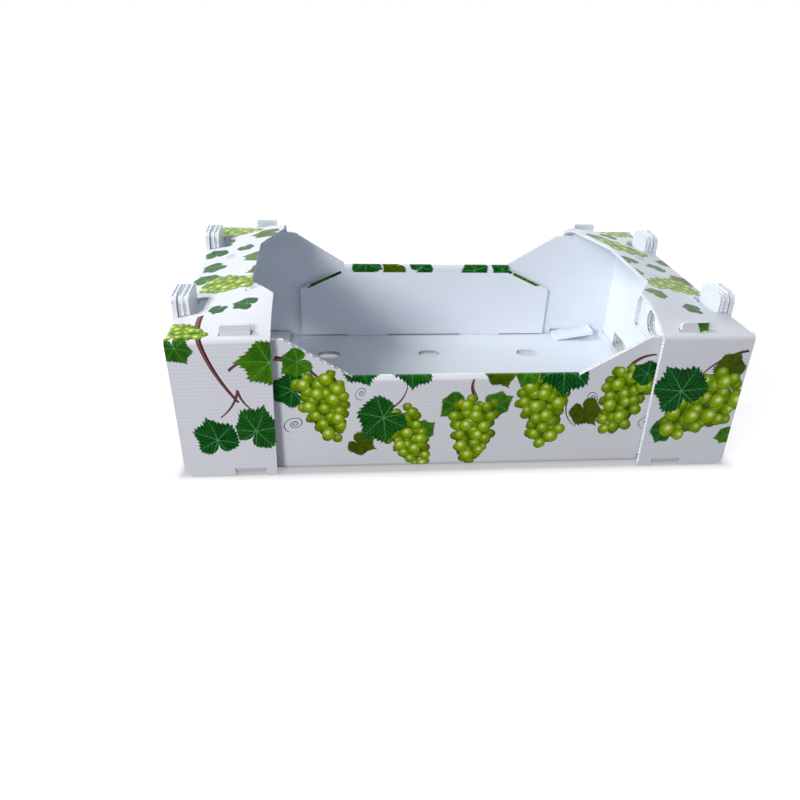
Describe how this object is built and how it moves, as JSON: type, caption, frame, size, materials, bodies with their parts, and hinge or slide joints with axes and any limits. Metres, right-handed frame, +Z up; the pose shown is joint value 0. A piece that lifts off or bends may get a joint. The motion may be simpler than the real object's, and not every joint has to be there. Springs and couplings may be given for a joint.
{
  "type": "corrugated plastic fruit crate",
  "caption": "Open fruit crate folded from one twin-wall plastic sheet, with low-cut long sides, end shelves, hand holes, tuck tabs and stacking tabs, and a grape vine print.",
  "frame": {"origin": "middle of the underside of the base", "axes": "+X along the length, towards one end wall; +Y across the width, towards the back wall; +Z up"},
  "size_m": [0.5, 0.308, 0.152],
  "materials": {
    "sheet": "satin white polypropylene, printed outside"
  },
  "bodies": {
    "root": {"crate": "sheet"}
  },
  "joints": []
}
